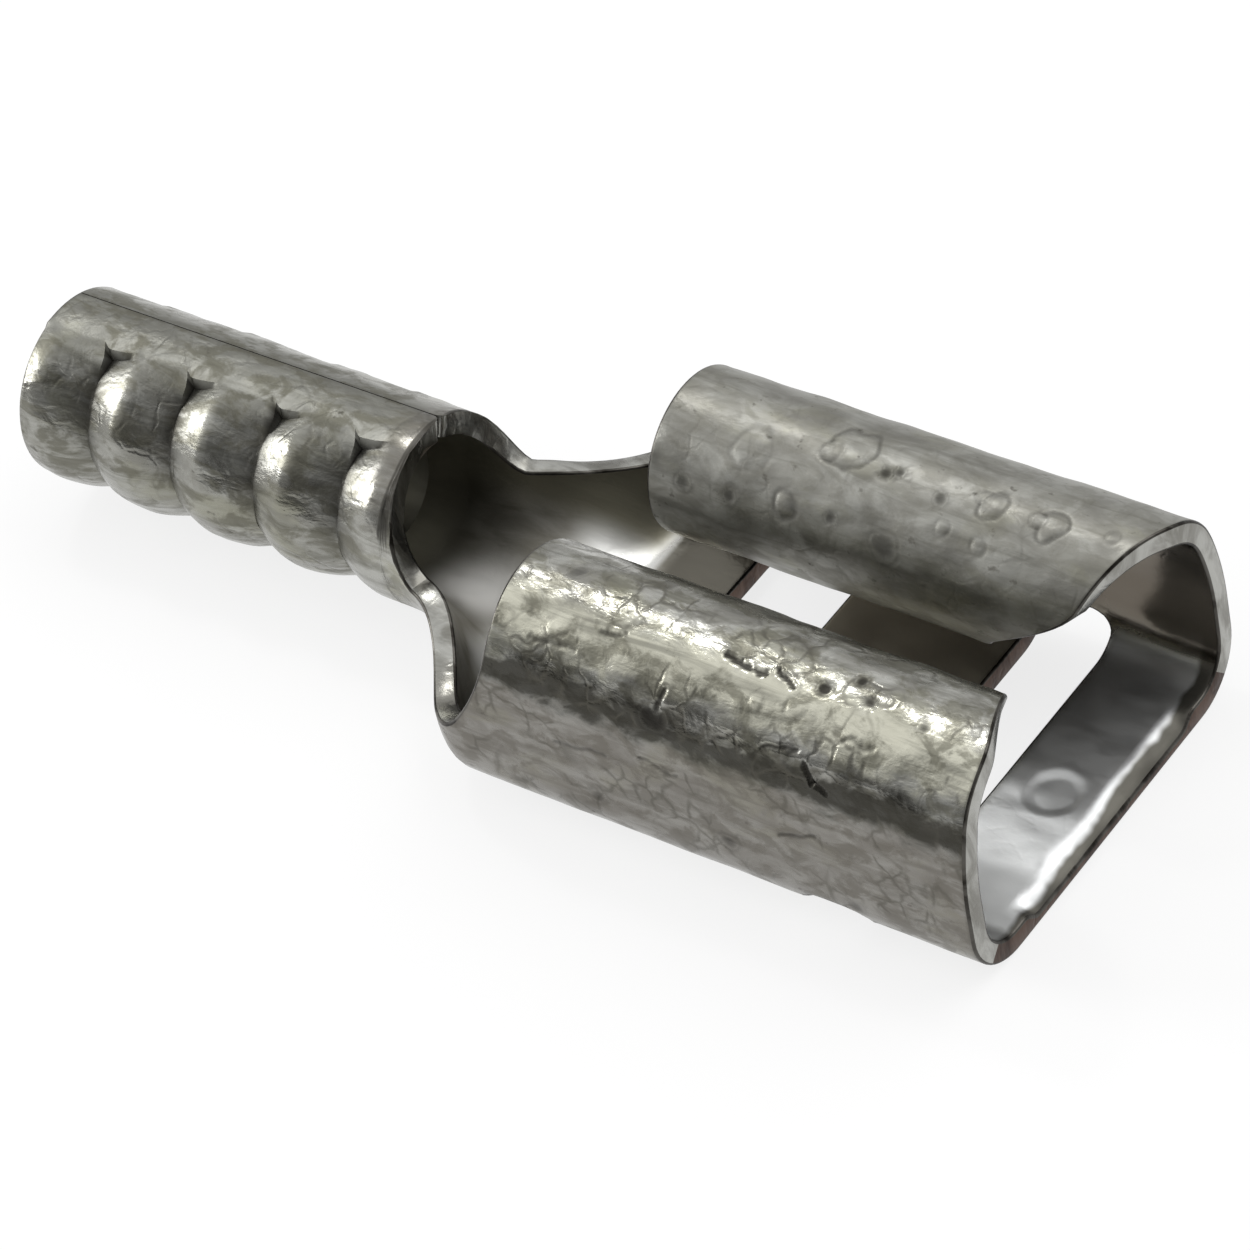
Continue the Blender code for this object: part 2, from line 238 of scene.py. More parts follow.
# The two openings of the floor are punched through the flat blank: a long slot behind the lip
# with round ends, and a window in front of the neck. Their edges are then drawn to the die's true
# outline, and the wings are joined to the strip.
SLOT_END_R = 0.45 * MM
WINDOW_END_R = 0.25 * MM
OPENINGS = ((SLOT_X0, SLOT_X1, SLOT_HALF, SLOT_END_R),
            (WINDOW_X0, WINDOW_X1, WINDOW_HALF, WINDOW_END_R))
SNAP = 1.2 * CELL                  # an edge point this near to a die's outline is moved onto it
WELD = 0.002 * MM


def outside_by(x, s, x0, x1, half, radius):
    """Distance of a point from a rounded rectangle, negative inside, and its nearest edge point."""
    centre_x = (x0 + x1) / 2
    reach_x = (x1 - x0) / 2 - radius
    reach_s = half - radius
    core_x = min(max(x - centre_x, -reach_x), reach_x)
    core_s = min(max(s, -reach_s), reach_s)
    away = Vector((x - centre_x - core_x, s - core_s))
    if away.length > 1e-9:
        edge = away.normalized() * radius
        return away.length - radius, (centre_x + core_x + edge.x, core_s + edge.y)
    gap_x = reach_x + radius - abs(x - centre_x)
    gap_s = half - abs(s)
    if gap_x < gap_s:
        return -gap_x, (centre_x + math.copysign(reach_x + radius, x - centre_x), s)
    return -gap_s, (x, math.copysign(half, s))


bpy.ops.object.select_all(action="DESELECT")
terminal.select_set(True)
bpy.context.view_layer.objects.active = terminal
bpy.ops.object.mode_set(mode="EDIT")
bpy.ops.mesh.select_mode(type="FACE")
bpy.ops.mesh.select_all(action="DESELECT")
bpy.ops.object.mode_set(mode="OBJECT")
for face in terminal.data.polygons:
    x, s = face.center.x, face.center.y
    face.select = any(outside_by(x, s, *opening)[0] < 0 for opening in OPENINGS)
bpy.ops.object.mode_set(mode="EDIT")
bpy.ops.mesh.delete(type="FACE")
bpy.ops.mesh.select_mode(type="EDGE")
bpy.ops.mesh.select_non_manifold()
bpy.ops.object.mode_set(mode="OBJECT")
for v in terminal.data.vertices:
    if v.select:
        for opening in OPENINGS:
            away, edge = outside_by(v.co.x, v.co.y, *opening)
            if abs(away) < SNAP:
                v.co = (*edge, 0.0)

for wing in wings:
    wing.select_set(True)
bpy.ops.object.join()
bpy.ops.object.mode_set(mode="EDIT")
bpy.ops.mesh.select_all(action="SELECT")
bpy.ops.mesh.remove_doubles(threshold=WELD)
bpy.ops.mesh.normals_make_consistent(inside=False)
bpy.ops.object.mode_set(mode="OBJECT")

# The plating carries the marks of a long life in a bin of parts: blisters in a shallow moat, short
# laps where the tin has folded over itself, and pits, which are blisters of a height below zero.
# The blank is made finer where they will be. All of them are given in millimetres.
BLISTERS = (                       # x, s, radius, height
    (4.76, 8.10, 0.33, 0.026), (4.44, 8.26, 0.15, 0.014), (4.01, 9.24, 0.19, 0.018),
    (7.52, 8.32, 0.20, 0.024), (7.28, 8.22, 0.12, 0.012), (8.63, 8.32, 0.21, 0.026),
    (8.36, 8.30, 0.12, 0.014), (5.51, 8.34, 0.10, -0.016), (5.74, 8.26, 0.09, -0.016),
    (2.95, 9.39, 0.11, -0.014), (2.00, 9.39, 0.14, -0.014), (4.86, 9.20, 0.11, -0.014),
    (6.61, 8.44, 0.12, -0.014), (6.89, 8.82, 0.12, 0.010), (7.56, 8.91, 0.13, 0.010),
    (9.66, 8.16, 0.12, 0.012), (3.10, 8.62, 0.30, 0.010), (5.95, 9.35, 0.22, -0.012),
    (4.57, -6.42, 0.24, -0.022), (7.33, -7.66, 0.12, -0.030), (7.81, -7.95, 0.10, -0.022),
    (8.16, -7.68, 0.10, -0.020), (9.20, -7.60, 0.13, -0.018), (5.85, -4.52, 0.17, -0.014),
    (6.35, -7.15, 0.13, 0.012), (6.05, -7.02, 0.11, 0.010), (7.05, -7.28, 0.17, 0.010),
    (3.30, -4.40, 0.16, -0.010), (8.20, -4.10, 0.14, -0.010), (2.30, -8.10, 0.14, -0.012),
)
LAPS = (                           # x and s of one end, x and s of the other, width, depth
    (4.62, -6.60, 4.72, -6.86, 0.070, 0.022), (5.50, -7.62, 6.00, -7.56, 0.060, 0.040),
    (6.10, -7.60, 6.30, -7.54, 0.055, 0.036), (6.46, -7.62, 6.84, -7.54, 0.060, 0.040),
    (6.64, -6.66, 7.28, -6.70, 0.050, 0.020), (7.42, -6.62, 7.60, -6.36, 0.055, 0.030),
    (7.60, -6.36, 7.86, -6.28, 0.050, 0.024), (2.10, -6.92, 2.95, -7.00, 0.055, 0.014),
    (3.30, -7.32, 3.72, -7.40, 0.055, 0.014), (8.02, -7.06, 8.55, -7.12, 0.055, 0.014),
    (2.60, -5.30, 3.60, -5.42, 0.050, 0.010), (6.90, -5.10, 7.60, -5.36, 0.050, 0.012),
    (4.30, -5.60, 5.00, -5.52, 0.050, 0.010),
)
FLAW_RATE = 3.5                    # the flaws' outlines wander at this many cycles per millimetre
LAP_WANDER = 0.09                  # how far a lap strays from a straight line
LAP_REACH = 2.0                    # the raised lips of a lap end at this many widths
MOAT_REACH = 1.5                   # the moat of a blister ends at this many radii
FLAW_MARGIN = 0.03
MARK_BACK = 1.05 * MM
MARK_R = 0.57 * MM
MARK_DEPTH = 0.050 * MM
MARK_EDGE = 0.45                   # share of the mark's radius that slopes down to its flat bottom
MOAT_SHARE = 0.35                  # depth of a moat, as a share of its blister's height


def lap_distance(x, s, lap):
    """Distance from a point of the blank to a lap's line, in millimetres."""
    start, end = Vector(lap[0:2]), Vector(lap[2:4])
    along = end - start
    stray = noise.noise(Vector((x * FLAW_RATE, lap[0], lap[1]))) * LAP_WANDER
    here = Vector((x, s + stray)) - start
    t = min(max(here.dot(along) / along.length_squared, 0.0), 1.0)
    return (here - along * t).length


def is_marked(x, s):
    """True near a blister, a lap or the pressed mark."""
    if any(max(abs(x - b[0]), abs(s - b[1])) < MOAT_REACH * b[2] for b in BLISTERS):
        return True
    if x > (MOUTH_X - MARK_BACK - MARK_R) / MM and abs(s) * MM < MARK_R:
        return x < (MOUTH_X - MARK_BACK + MARK_R) / MM
    return any(lap_distance(x, s, lap) < LAP_REACH * lap[4] + FLAW_MARGIN for lap in LAPS)


bpy.ops.object.mode_set(mode="EDIT")
bpy.ops.mesh.select_mode(type="FACE")
bpy.ops.mesh.select_all(action="DESELECT")
bpy.ops.object.mode_set(mode="OBJECT")
for face in terminal.data.polygons:
    face.select = is_marked(face.center.x / MM, face.center.y / MM)
bpy.ops.object.mode_set(mode="EDIT")
bpy.ops.mesh.subdivide(number_cuts=2)
bpy.ops.object.mode_set(mode="OBJECT")

# The press folds the blank round its formers. The barrel is curled shut with its edges butted a
# little to one side, and four grooves are pressed into it. The neck stays open, and the wings are
# bent up and rolled over into two springs. The flat place of each point is kept as its UV.
BARREL_AXIS = 1.96 * MM
RAMP_X0 = FOOT_X - 1.00 * MM
RAMP_X1 = FOOT_X + 0.45 * MM
GROOVE_CREST = 0.42                # where a ridge lies between two notches, as a share of the pitch
GROOVE_DEPTH = 0.26 * MM
FACET_FROM = 2.2 * MM              # the lands are round below this and flat-sided above
FACET_RUN = 0.8 * MM
REAR_DRAW = 0.24 * MM              # how steeply the rear end is drawn in
FALL_FADE = 0.75 * MM              # the rear side of a groove runs out over this length at its end


def arc_step(point, heading, radius, length):
    turn = length / radius
    y = point[0] + radius * (math.sin(heading + turn) - math.sin(heading))
    z = point[1] - radius * (math.cos(heading + turn) - math.cos(heading))
    return (y, z), heading + turn


def receptacle_point(s):
    """Middle of the receptacle's sheet: floor, fold, wall, shoulder, roll and straight edge."""
    side = -1.0 if s < 0 else 1.0
    rest = abs(s) - FLOOR_HALF
    point, heading = (min(abs(s), FLOOR_HALF), HALF_T), 0.0
    for radius, length in ((CORNER_R - HALF_T, CORNER_ARC), (None, WALL_RISE),
                           (SHOULDER_R - HALF_T, SHOULDER_ARC), (ROLL_R - HALF_T, ROLL_ARC),
                           (None, LEG)):
        if rest <= 0:
            break
        part = min(rest, length)
        if radius is None:
            point = (point[0] + part * math.cos(heading), point[1] + part * math.sin(heading))
        else:
            point, heading = arc_step(point, heading, radius, part)
        rest -= length
    return side * point[0], point[1]


def groove_offset(x, s):
    """How far the barrel wall is pressed in at a point of the blank."""
    side = 1 if s > 0 else -1
    end = groove_end(side)
    if abs(s) > end + GROOVE_END_RUN / 2:
        return 0.0
    across = (x - GROOVE_X) / GROOVE_PITCH
    if across < GROOVE_CREST - 1:
        return REAR_DRAW * (GROOVE_CREST - 1 - across) * GROOVE_PITCH / (GROOVE_X - REAR_X)
    if across > GROOVES - 1 + GROOVE_CREST:
        return 0.0
    phase = across - math.floor(across)
    from_crest = max(1 - phase / GROOVE_CREST, (phase - GROOVE_CREST) / (1 - GROOVE_CREST))
    flatness = smooth((abs(s) - FACET_FROM) / FACET_RUN)
    depth = GROOVE_DEPTH * from_crest ** (2.0 - flatness)
    if phase > GROOVE_CREST:
        depth *= smooth((end + GROOVE_END_RUN - abs(s)) / FALL_FADE)
    return depth


def fold(x, s):
    """Place of a point of the blank once it is folded."""
    wide = smooth((x - WIDEN_X0) / (WIDEN_X1 - WIDEN_X0))
    step = BARREL_AXIS - BARREL_R
    up = step * (1 - smooth((x - RAMP_X0) / (RAMP_X1 - RAMP_X0)))
    angle = s / BARREL_MID
    r = BARREL_MID - groove_offset(x, s)
    by, bz = r * math.sin(angle), BARREL_R - r * math.cos(angle)
    ry, rz = receptacle_point(s)
    return x, by + (ry - by) * wide, bz + (rz - bz) * wide + up


blank_uv = terminal.data.uv_layers.new(name="blank")
flat = [v.co.copy() for v in terminal.data.vertices]
for loop in terminal.data.loops:
    blank_uv.data[loop.index].uv = flat[loop.vertex_index].xy / MM
for v in terminal.data.vertices:
    v.co = fold(v.co.x, v.co.y)

# The sheet gets its gauge. The faces that were there become its inner face, where the tin is calm
# and dull, and Solidify adds the outer one. The rim faces are the sheared edges: bare brass round
# the two openings and across the lip, punched after plating, and tinned all round the outline.
INNER, CUT_EDGE, OUTER, RIM, CORNER = range(5)    # places of the five finishes
ON_EDGE = 0.10 * MM                # a rim face this near to a die's outline was cut by that die
for finish in ("tin_inside", "sheared_brass", "tin_plating", "tin_on_rim", "corner_painted_reflection"):
    terminal.data.materials.append(bpy.data.materials.new(finish))
gauge = terminal.modifiers.new("gauge", "SOLIDIFY")
gauge.thickness = GAUGE
gauge.offset = 0.0
gauge.use_even_offset = True
gauge.material_offset = OUTER
gauge.material_offset_rim = CUT_EDGE
bpy.ops.object.modifier_apply(modifier="gauge")

sheet = terminal.data
blank_uv = sheet.uv_layers["blank"]
blank_at = [None] * len(sheet.vertices)
for loop in sheet.loops:
    blank_at[loop.vertex_index] = Vector(blank_uv.data[loop.index].uv)
rim_faces = {face.index for face in sheet.polygons if face.material_index == CUT_EDGE}
rim = {i for index in rim_faces for i in sheet.polygons[index].vertices}
for face in sheet.polygons:
    if face.material_index == CUT_EDGE:
        at = sum((blank_at[i] for i in face.vertices), Vector((0, 0))) / len(face.vertices) * MM
        cut = any(abs(outside_by(at.x, at.y, *opening)[0]) < ON_EDGE for opening in OPENINGS)
        lip_front = at.x > MOUTH_X - ON_EDGE and abs(at.y) < FLOOR_HALF + CORNER_ARC / 2
        face.material_index = CUT_EDGE if cut or lip_front else RIM

# The tab's way in is bevelled along the lip, and a round mark is pressed behind the bevel. Then
# the sheet gets its relief, hundredths of a millimetre high: slow lumps left by the rolls and
# dies, short ripples along the strip, and the blisters, laps and pits.
BEVEL_DROP = 0.22 * MM
BEVEL_HALF = FLOOR_HALF - 0.25 * MM
BEVEL_END = 0.35 * MM              # the bevel runs out over this length at each end
BEVEL_STRAY = 0.55                 # how unevenly it was pressed, as a share of its run
BEVEL_RATE = 1.3                   # in cycles per millimetre, as all the rates here
BEVEL_SEED = 3.0
LUMPS = ((1.6, 0.75, 0.016), (0.80, 0.34, 0.028), (0.36, 0.24, 0.012))    # length, width, height
OUTER_SEED = 0.0
INNER_SEED = 31.0
SEED_STEP = 7.3
INNER_LUMPS = 0.10                 # height of the lumps of each place, as a share
LIP_LUMPS = 0.35
BARREL_LUMPS = 0.9
WALL_LUMPS = 0.3
ROLL_LUMPS = {-1: 0.7, 1: 0.35}    # what the near and the far roll have more than the walls
BESIDE_RIM_LUMPS = 0.5
ROLLED_FROM = 5.7                  # in millimetres from the centre line
ROLLED_RUN = 0.7
BLISTER_WOBBLE = 0.45
BLISTER_SQUEEZE = 1.15
BLISTER_DOME = 0.7
LAP_ROUGHNESS = 0.25
LAP_RATE = 9
LAP_LIP = 0.3                      # height of a lap's lips, as a share of its depth
LAP_NEAR_X = 0.3                   # nothing of a lap reaches further from its ends than this
LAP_NEAR_S = 0.6
LIP_FROM = 8.0                     # in millimetres, as the plain distances below
LIP_HALF = 3.0
PIT_SHADE_DEPTH = 0.019                # a pit this deep gets the darkest painted shade
GROOVE_SHADE_FROM = 1.9                   # a groove gets painted shade above this distance from the centre line
GROOVE_SHADE_RUN = 1.2
GROOVE_SHADE_POWER = 1.9
GROOVE_END_POWER = 0.4
GROOVE_END_NEAR = 0.12 * MM
EDGE_SHADE = 0.40
NECK_EDGE_SHADE = 0.30
STEEP_RIM_SHADE = 0.80
STEEP_RIM_SHADE_RUN = 0.06 * MM
STEEP_FROM = NECK_HALF + 0.55 * MM    # beyond this the outline turns sharply at the barrel's rim


def coin_drop(x, s):
    """How far the lead-in bevel and the round mark lower the top of the lip."""
    stray = BEVEL_STRAY * noise.noise(Vector((s / MM * BEVEL_RATE, BEVEL_SEED, 0.0)))
    run = BEVEL_RUN * (1 + stray)
    along = min(max((x - MOUTH_X + run) / run, 0.0), 1.0)
    bevel = BEVEL_DROP * along * smooth((BEVEL_HALF - abs(s)) / BEVEL_END)
    from_mark = math.hypot(x - MOUTH_X + MARK_BACK, s) / MARK_R
    if from_mark < 1:
        return max(bevel, MARK_DEPTH * smooth((1 - from_mark) / MARK_EDGE))
    return bevel


def lump_height(x, s, seed):
    """Height of the lumps and ripples at a point of the blank, in millimetres."""
    height = 0.0
    for i, (length, width, tall) in enumerate(LUMPS):
        height += tall * noise.noise(Vector((x / length, s / width, seed + SEED_STEP * i)))
    return height


def lump_share(x, s):
    """The near roll is the roughest, then the barrel. The far roll and the walls are calmer."""
    if x < RIM_X / MM:
        return BARREL_LUMPS
    rolled = smooth((abs(s) - ROLLED_FROM) / ROLLED_RUN)
    return WALL_LUMPS + ROLL_LUMPS[-1 if s < 0 else 1] * rolled


def flaw_height(x, s):
    """Height of the blisters, laps and pits at a point of the blank, in millimetres."""
    height = 0.0
    if x < 0:
        return height
    for bx, bs, radius, tall in BLISTERS:
        if abs(x - bx) > 2 * radius or abs(s - bs) > 2 * radius:
            continue
        wobble = BLISTER_WOBBLE * noise.noise(Vector((x * FLAW_RATE, s * FLAW_RATE, bx)))
        d = math.hypot(x - bx, (s - bs) * BLISTER_SQUEEZE) / radius + wobble
        if d < 1:
            height += tall * (1 - d ** 2) ** BLISTER_DOME
        elif d < MOAT_REACH:
            height -= abs(tall) * MOAT_SHARE * math.sin((d - 1) / (MOAT_REACH - 1) * math.pi)
    for lap in LAPS:
        beside = abs(s - lap[1]) > LAP_NEAR_S
        if beside or not lap[0] - LAP_NEAR_X < x < lap[2] + LAP_NEAR_X:
            continue
        rough = LAP_ROUGHNESS * noise.noise(Vector((x * LAP_RATE, s * LAP_RATE, lap[0])))
        d = lap_distance(x, s, lap) / lap[4] + rough
        if d < 1:
            height -= lap[5] * (1 - d ** 2)
        elif d < LAP_REACH:
            height += lap[5] * LAP_LIP * math.sin((d - 1) * math.pi)
    return height


inner = {i for face in sheet.polygons if face.material_index == INNER for i in face.vertices}
beside_rim = {i for face in sheet.polygons if rim.intersection(face.vertices)
              for i in face.vertices}
on_lip = {i for i, (x, s) in enumerate(blank_at) if x > LIP_FROM and abs(s) < LIP_HALF}
lip_top = {i for i in on_lip if sheet.vertices[i].co.z > HALF_T}
steep = {i for i, (x, s) in enumerate(blank_at)
         if abs(x * MM - RIM_X) < SEAM_CORNER_R and abs(s) * MM > STEEP_FROM}
outward = [v.normal.copy() for v in sheet.vertices]
# This attribute darkens the outer tin. Pits, laps, moats, the deep parts of the grooves and the
# steep corner by the barrel's rim get painted shade, and the sheet's edges get a painted dark
# reflection.
painted_shade = sheet.attributes.new(name="painted_shade", type="FLOAT", domain="POINT")
for v in sheet.vertices:
    x, s = blank_at[v.index]
    if v.index in rim:
        v.co.z -= coin_drop(x * MM, s * MM) if v.index in lip_top else 0.0
        # the sheet's edges get a painted dark reflection
        painted_shade.data[v.index].value = EDGE_SHADE if x > 0 else NECK_EDGE_SHADE
        continue
    ease_in = BESIDE_RIM_LUMPS if v.index in beside_rim else 1.0
    if v.index in inner:
        share = LIP_LUMPS if x > SLOT_X1 / MM else INNER_LUMPS
        v.co += outward[v.index] * lump_height(x, s, INNER_SEED) * MM * share * ease_in
        if v.index in on_lip:
            v.co.z -= coin_drop(x * MM, s * MM)
    else:
        flaw = flaw_height(x, s)
        relief = lump_height(x, s, OUTER_SEED) * lump_share(x, s) * ease_in + flaw
        v.co += outward[v.index] * relief * MM
        sunk = groove_offset(x * MM, s * MM) / GROOVE_DEPTH
        at_end = abs(s) * MM > groove_end(1 if s > 0 else -1) - GROOVE_END_NEAR
        sunk = sunk ** (GROOVE_END_POWER if at_end else GROOVE_SHADE_POWER)
        sunk *= smooth((abs(s) - GROOVE_SHADE_FROM) / GROOVE_SHADE_RUN)
        at_rim = STEEP_RIM_SHADE if RIM_X - STEEP_RIM_SHADE_RUN < x * MM and v.index in steep else 0.0
        # pits, laps, moats, grooves and the steep corner by the barrel's rim get painted shade
        painted_shade.data[v.index].value = min(max(-flaw / PIT_SHADE_DEPTH, at_rim) + sunk, 1.0)

# The sheared edges are eased by the tumbling that follows the press, except in the closed seam, and
# hardly at all where the neck's outline turns into the barrel's end.
EASE_WIDTH = 0.045 * MM
STEEP_EASE = 0.12
SEAM_NEAR = 0.05 * MM
in_seam = {i for i, (x, s) in enumerate(blank_at)
           if x * MM < RIM_X - SEAM_CORNER_R
           and abs(s) * MM > seam_half(math.copysign(1, s)) - SEAM_NEAR}
corners = {key for face in sheet.polygons if face.index in rim_faces for key in face.edge_keys}
corners &= {key for face in sheet.polygons if face.index not in rim_faces for key in face.edge_keys}
easing = sheet.attributes.new(name="bevel_weight_edge", type="FLOAT", domain="EDGE")
for edge in sheet.edges:
    if edge.key in corners and not in_seam.issuperset(edge.vertices):
        easing.data[edge.index].value = STEEP_EASE if steep.intersection(edge.vertices) else 1.0
ease = terminal.modifiers.new("ease", "BEVEL")
ease.width = EASE_WIDTH
ease.segments = 3
# the eased corners take the near-black finish, a painted dark reflection
ease.material = CORNER
ease.limit_method = "WEIGHT"
ease.use_clamp_overlap = False
ease.loop_slide = False
bpy.ops.object.modifier_apply(modifier="ease")

# No lump or blister stands past the box of the plain solid that this sheet is shown for.
for v in sheet.vertices:
    v.co.x = min(max(v.co.x, low.x), high.x)
    v.co.y = min(max(v.co.y, low.y), high.y)
    v.co.z = min(max(v.co.z, low.z), high.z)
bpy.ops.object.shade_smooth_by_angle(angle=math.radians(35))

# Tin over brass, dulled and mottled by age: pale grey patches, olive stains and fine dark specks.
# Over them lie three kinds of painted light and shade: a dark brown-grey band along the shoulders,
# which is a painted reflection; a pale olive strip on the near roll, which is painted light; and
# painted shade on the side walls. All of it is laid out on the blank.
MIX_A, MIX_B, MIX_RESULT = 6, 7, 2    # the colour sockets of a Mix node


def add_node(tree, kind, **settings):
    """A node whose sockets are linked or set by name or place, and its own properties set."""
    node = tree.nodes.new(kind)
    sockets = settings.pop("sockets", {})
    for name, value in settings.items():
        setattr(node, name, value)
    for name, value in sockets.items():
        socket = node.inputs[name]
        if isinstance(value, bpy.types.NodeSocket):
            tree.links.new(value, socket)
        else:
            socket.default_value = value
    return node


def stretched_noise(tree, where, scale, detail, distortion=0.0):
    """Noise on the blank, in cycles per millimetre along and across the strip."""
    shaped = add_node(tree, "ShaderNodeMapping", sockets={"Vector": where, "Scale": (*scale, 1.0)})
    made = add_node(tree, "ShaderNodeTexNoise",
                    sockets={"Vector": shaped.outputs["Vector"], "Scale": 1.0, "Detail": detail,
                             "Roughness": 0.6, "Distortion": distortion})
    return made.outputs["Fac"]


def stepped(tree, value, start, end):
    """0 before the start, 1 past the end, and smooth between."""
    made = add_node(tree, "ShaderNodeMapRange", interpolation_type="SMOOTHSTEP",
                    sockets={"Value": value, "From Min": start, "From Max": end})
    return made.outputs["Result"]


def reckoned(tree, operation, *terms):
    made = add_node(tree, "ShaderNodeMath", operation=operation, sockets=dict(enumerate(terms)))
    return made.outputs["Value"]


def without(tree, mask):
    return reckoned(tree, "SUBTRACT", 1.0, mask)


def between(tree, value, rise, fall):
    """A mask that comes in over the first span of the value and goes out over the second."""
    return reckoned(tree, "SUBTRACT", stepped(tree, value, *rise), stepped(tree, value, *fall))


def blended(tree, factor, a, b):
    made = add_node(tree, "ShaderNodeMix", data_type="RGBA",
                    sockets={0: factor, MIX_A: a, MIX_B: b})
    return made.outputs[MIX_RESULT]


def stained(tree, colour, *stains):
    """A colour under stains, each a mask, its strength and its colour, the last one on top."""
    for mask, strength, stain in stains:
        mask = reckoned(tree, "MULTIPLY", mask, strength)
        colour = blended(tree, mask, colour, (*stain, 1))
    return colour


def dulled(tree, roughness, *films):
    """A roughness that grows under films, each a mask and its strength."""
    for mask, strength in films:
        roughness = reckoned(tree, "MULTIPLY_ADD", mask, strength, roughness)
    return roughness


age = bpy.data.node_groups.new("aged_metal", "ShaderNodeTree")
age.interface.new_socket("Blank", in_out="INPUT", socket_type="NodeSocketVector")
blank = age.nodes.new("NodeGroupInput").outputs["Blank"]
warp = add_node(age, "ShaderNodeTexNoise", sockets={"Vector": blank, "Scale": 1.8, "Detail": 2.0})
bent = add_node(age, "ShaderNodeVectorMath", operation="MULTIPLY_ADD",
                sockets={0: warp.outputs["Color"], 1: (0.5, 0.5, 0.5), 2: blank})
cells = add_node(age, "ShaderNodeTexVoronoi", feature="DISTANCE_TO_EDGE",
                 sockets={"Vector": bent.outputs["Vector"], "Scale": 2.2})
crackle_lines = without(age, stepped(age, cells.outputs["Distance"], 0.0, 0.13))
crackled = stepped(age, stretched_noise(age, blank, (0.7, 1.3), 2.0), 0.44, 0.60)
crackle = reckoned(age, "MULTIPLY", crackle_lines, crackled)
grain = stretched_noise(age, blank, (2.6, 4.6), 3.0, 0.3)
marks = {
    "Patches": stepped(age, stretched_noise(age, blank, (0.9, 1.8), 4.0, 0.6), 0.36, 0.64),
    "Mottle": stepped(age, stretched_noise(age, blank, (1.5, 2.6), 5.0, 0.5), 0.46, 0.60),
    "Stain": stepped(age, stretched_noise(age, blank, (0.55, 1.1), 5.0, 0.4), 0.50, 0.68),
    "Specks": stepped(age, stretched_noise(age, blank, (3.2, 4.2), 3.0), 0.62, 0.74),
    "Crackle": crackle,
    "Relief": reckoned(age, "SUBTRACT", grain, reckoned(age, "MULTIPLY", crackle, 0.28)),
}
for output in marks:
    age.interface.new_socket(output, in_out="OUTPUT", socket_type="NodeSocketFloat")
age_out = age.nodes.new("NodeGroupOutput")
for output, value in marks.items():
    age.links.new(value, age_out.inputs[output])


def start_metal(name, on_blank=True):
    """A metallic material with the aged_metal group, laid on the blank or through the solid."""
    made = bpy.data.materials[name]
    made.use_nodes = True
    tree = made.node_tree
    shader = tree.nodes["Principled BSDF"]
    shader.inputs["Metallic"].default_value = 1.0
    if on_blank:
        where = add_node(tree, "ShaderNodeUVMap", uv_map="blank").outputs["UV"]
    else:
        spot = tree.nodes.new("ShaderNodeTexCoord").outputs["Object"]
        where = add_node(tree, "ShaderNodeVectorMath", operation="SCALE",
                         sockets={0: spot, "Scale": 1 / MM}).outputs["Vector"]
    aged = add_node(tree, "ShaderNodeGroup", node_tree=age, sockets={"Blank": where})
    return tree, shader, where, aged.outputs


def blank_axes(tree, uv):
    """Distance along the strip, across it, and from its centre line, in millimetres."""
    flat_place = add_node(tree, "ShaderNodeSeparateXYZ", sockets={"Vector": uv})
    across = flat_place.outputs["Y"]
    return flat_place.outputs["X"], across, reckoned(tree, "ABSOLUTE", across)


def finish_metal(tree, shader, colour, roughness, relief, depth):
    bump = add_node(tree, "ShaderNodeBump",
                    sockets={"Height": relief, "Distance": depth, "Strength": 1.0})
    tree.links.new(colour, shader.inputs["Base Color"])
    tree.links.new(roughness, shader.inputs["Roughness"])
    tree.links.new(bump.outputs["Normal"], shader.inputs["Normal"])


BARREL_OUT = (-3.4, -2.2)          # spans in millimetres along the strip or across it
RIDGE_IN = (3.7, 4.2)
NEAR_OUT = (-6.3, -5.7)
FAR_IN = (5.8, 6.6)
ACROSS_IN = (-1.0, 1.0)
WALL_IN, WALL_OUT = (3.2, 4.4), (6.3, 6.6)
# the dark band along the shoulders is a painted reflection
BAND_IN, BAND_OUT = (6.26, 6.60), (6.85, 7.20)
# the pale strip on the near roll is painted light
LIT_IN, LIT_OUT = (7.15, 7.45), (7.90, 8.30)
BORDER_STRAY = 0.9                 # how far the borders of wall, band and lit strip wander
BAND_LESS = 0.55                   # how much weaker the dark band is on the far side

tree, shader, uv, aged = start_metal("tin_plating")
along, across, off_centre = blank_axes(tree, uv)
stray = stretched_noise(tree, uv, (1.6, 2.4), 4.0, 0.5)
ragged = reckoned(tree, "MULTIPLY_ADD", stray, BORDER_STRAY, off_centre)
barrel = without(tree, stepped(tree, along, *BARREL_OUT))
ridge = reckoned(tree, "MULTIPLY", barrel, stepped(tree, off_centre, *RIDGE_IN))
near = without(tree, stepped(tree, across, *NEAR_OUT))
far = stepped(tree, across, *FAR_IN)
wall = reckoned(tree, "MULTIPLY", between(tree, ragged, WALL_IN, WALL_OUT), without(tree, barrel))
fainter = reckoned(tree, "MULTIPLY", stepped(tree, across, *ACROSS_IN), BAND_LESS)
band = reckoned(tree, "MULTIPLY", between(tree, ragged, BAND_IN, BAND_OUT), without(tree, fainter))
lit = reckoned(tree, "MULTIPLY", between(tree, ragged, LIT_IN, LIT_OUT), near)
streaks = stepped(tree, stretched_noise(tree, uv, (0.35, 4.0), 4.0, 0.8), 0.45, 0.70)
worn = reckoned(tree, "MAXIMUM", near, barrel)
mottled = reckoned(tree, "MAXIMUM", worn, reckoned(tree, "MULTIPLY_ADD", wall, 0.45, 0.5))
